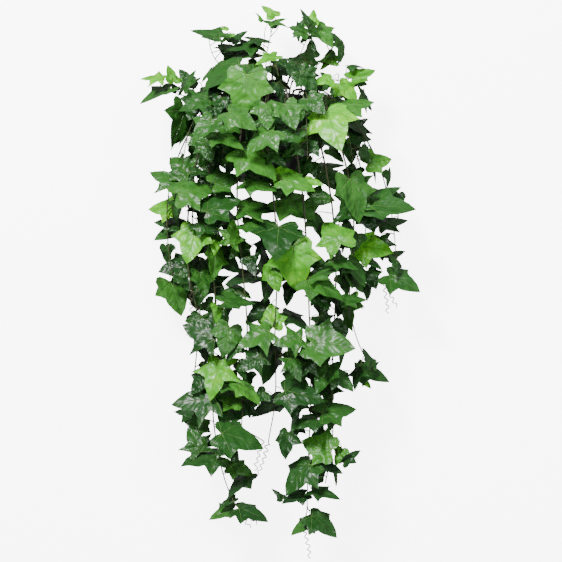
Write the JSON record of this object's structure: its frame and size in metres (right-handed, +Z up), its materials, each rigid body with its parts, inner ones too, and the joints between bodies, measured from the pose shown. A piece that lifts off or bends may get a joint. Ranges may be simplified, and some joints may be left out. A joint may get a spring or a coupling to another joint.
{
  "type": "potted trailing ivy in a wall pot",
  "caption": "Trailing ivy in a half-round hanging wall pot, with a dense crown of lobed leaves, upright sprigs and long trails ending in curly tendrils.",
  "frame": {"origin": "middle of the pot's flat back, where it lies on the wall, at half the pot's height", "axes": "+Z up, +Y into the wall, +X to the right as seen from the room; the plant faces -Y"},
  "size_m": [0.4551, 0.2166, 0.8985],
  "materials": {
    "pot_plastic": "black moulded plastic with a fine matt grain",
    "potting_soil": "dark crumbly potting soil",
    "ivy": "glossy lobed ivy leaves with pale veins, from dark to yellow green, on brown-green stems"
  },
  "bodies": {
    "root": {"crown_front": "ivy", "crown_front_left": "ivy", "crown_front_right": "ivy", "crown_high_left": "ivy", "crown_high_middle": "ivy", "crown_high_right": "ivy", "crown_left": "ivy", "crown_low_left": "ivy", "crown_low_right": "ivy", "crown_middle": "ivy", "crown_middle_left": "ivy", "crown_middle_right": "ivy", "crown_right": "ivy", "potting_soil": "potting_soil", "sprig_far_left": "ivy", "sprig_high_right": "ivy", "sprig_right": "ivy", "sprig_top_middle": "ivy", "sprig_top_right": "ivy", "sprig_upper_left": "ivy", "trail_centre": "ivy", "trail_left": "ivy", "trail_left_inner": "ivy", "trail_left_wall": "ivy", "trail_long_left": "ivy", "trail_long_right": "ivy", "trail_outer_left": "ivy", "trail_outer_right": "ivy", "trail_right_inner": "ivy", "trail_right_spray": "ivy", "trail_right_wall": "ivy", "wall_pot": "pot_plastic"}
  },
  "joints": []
}
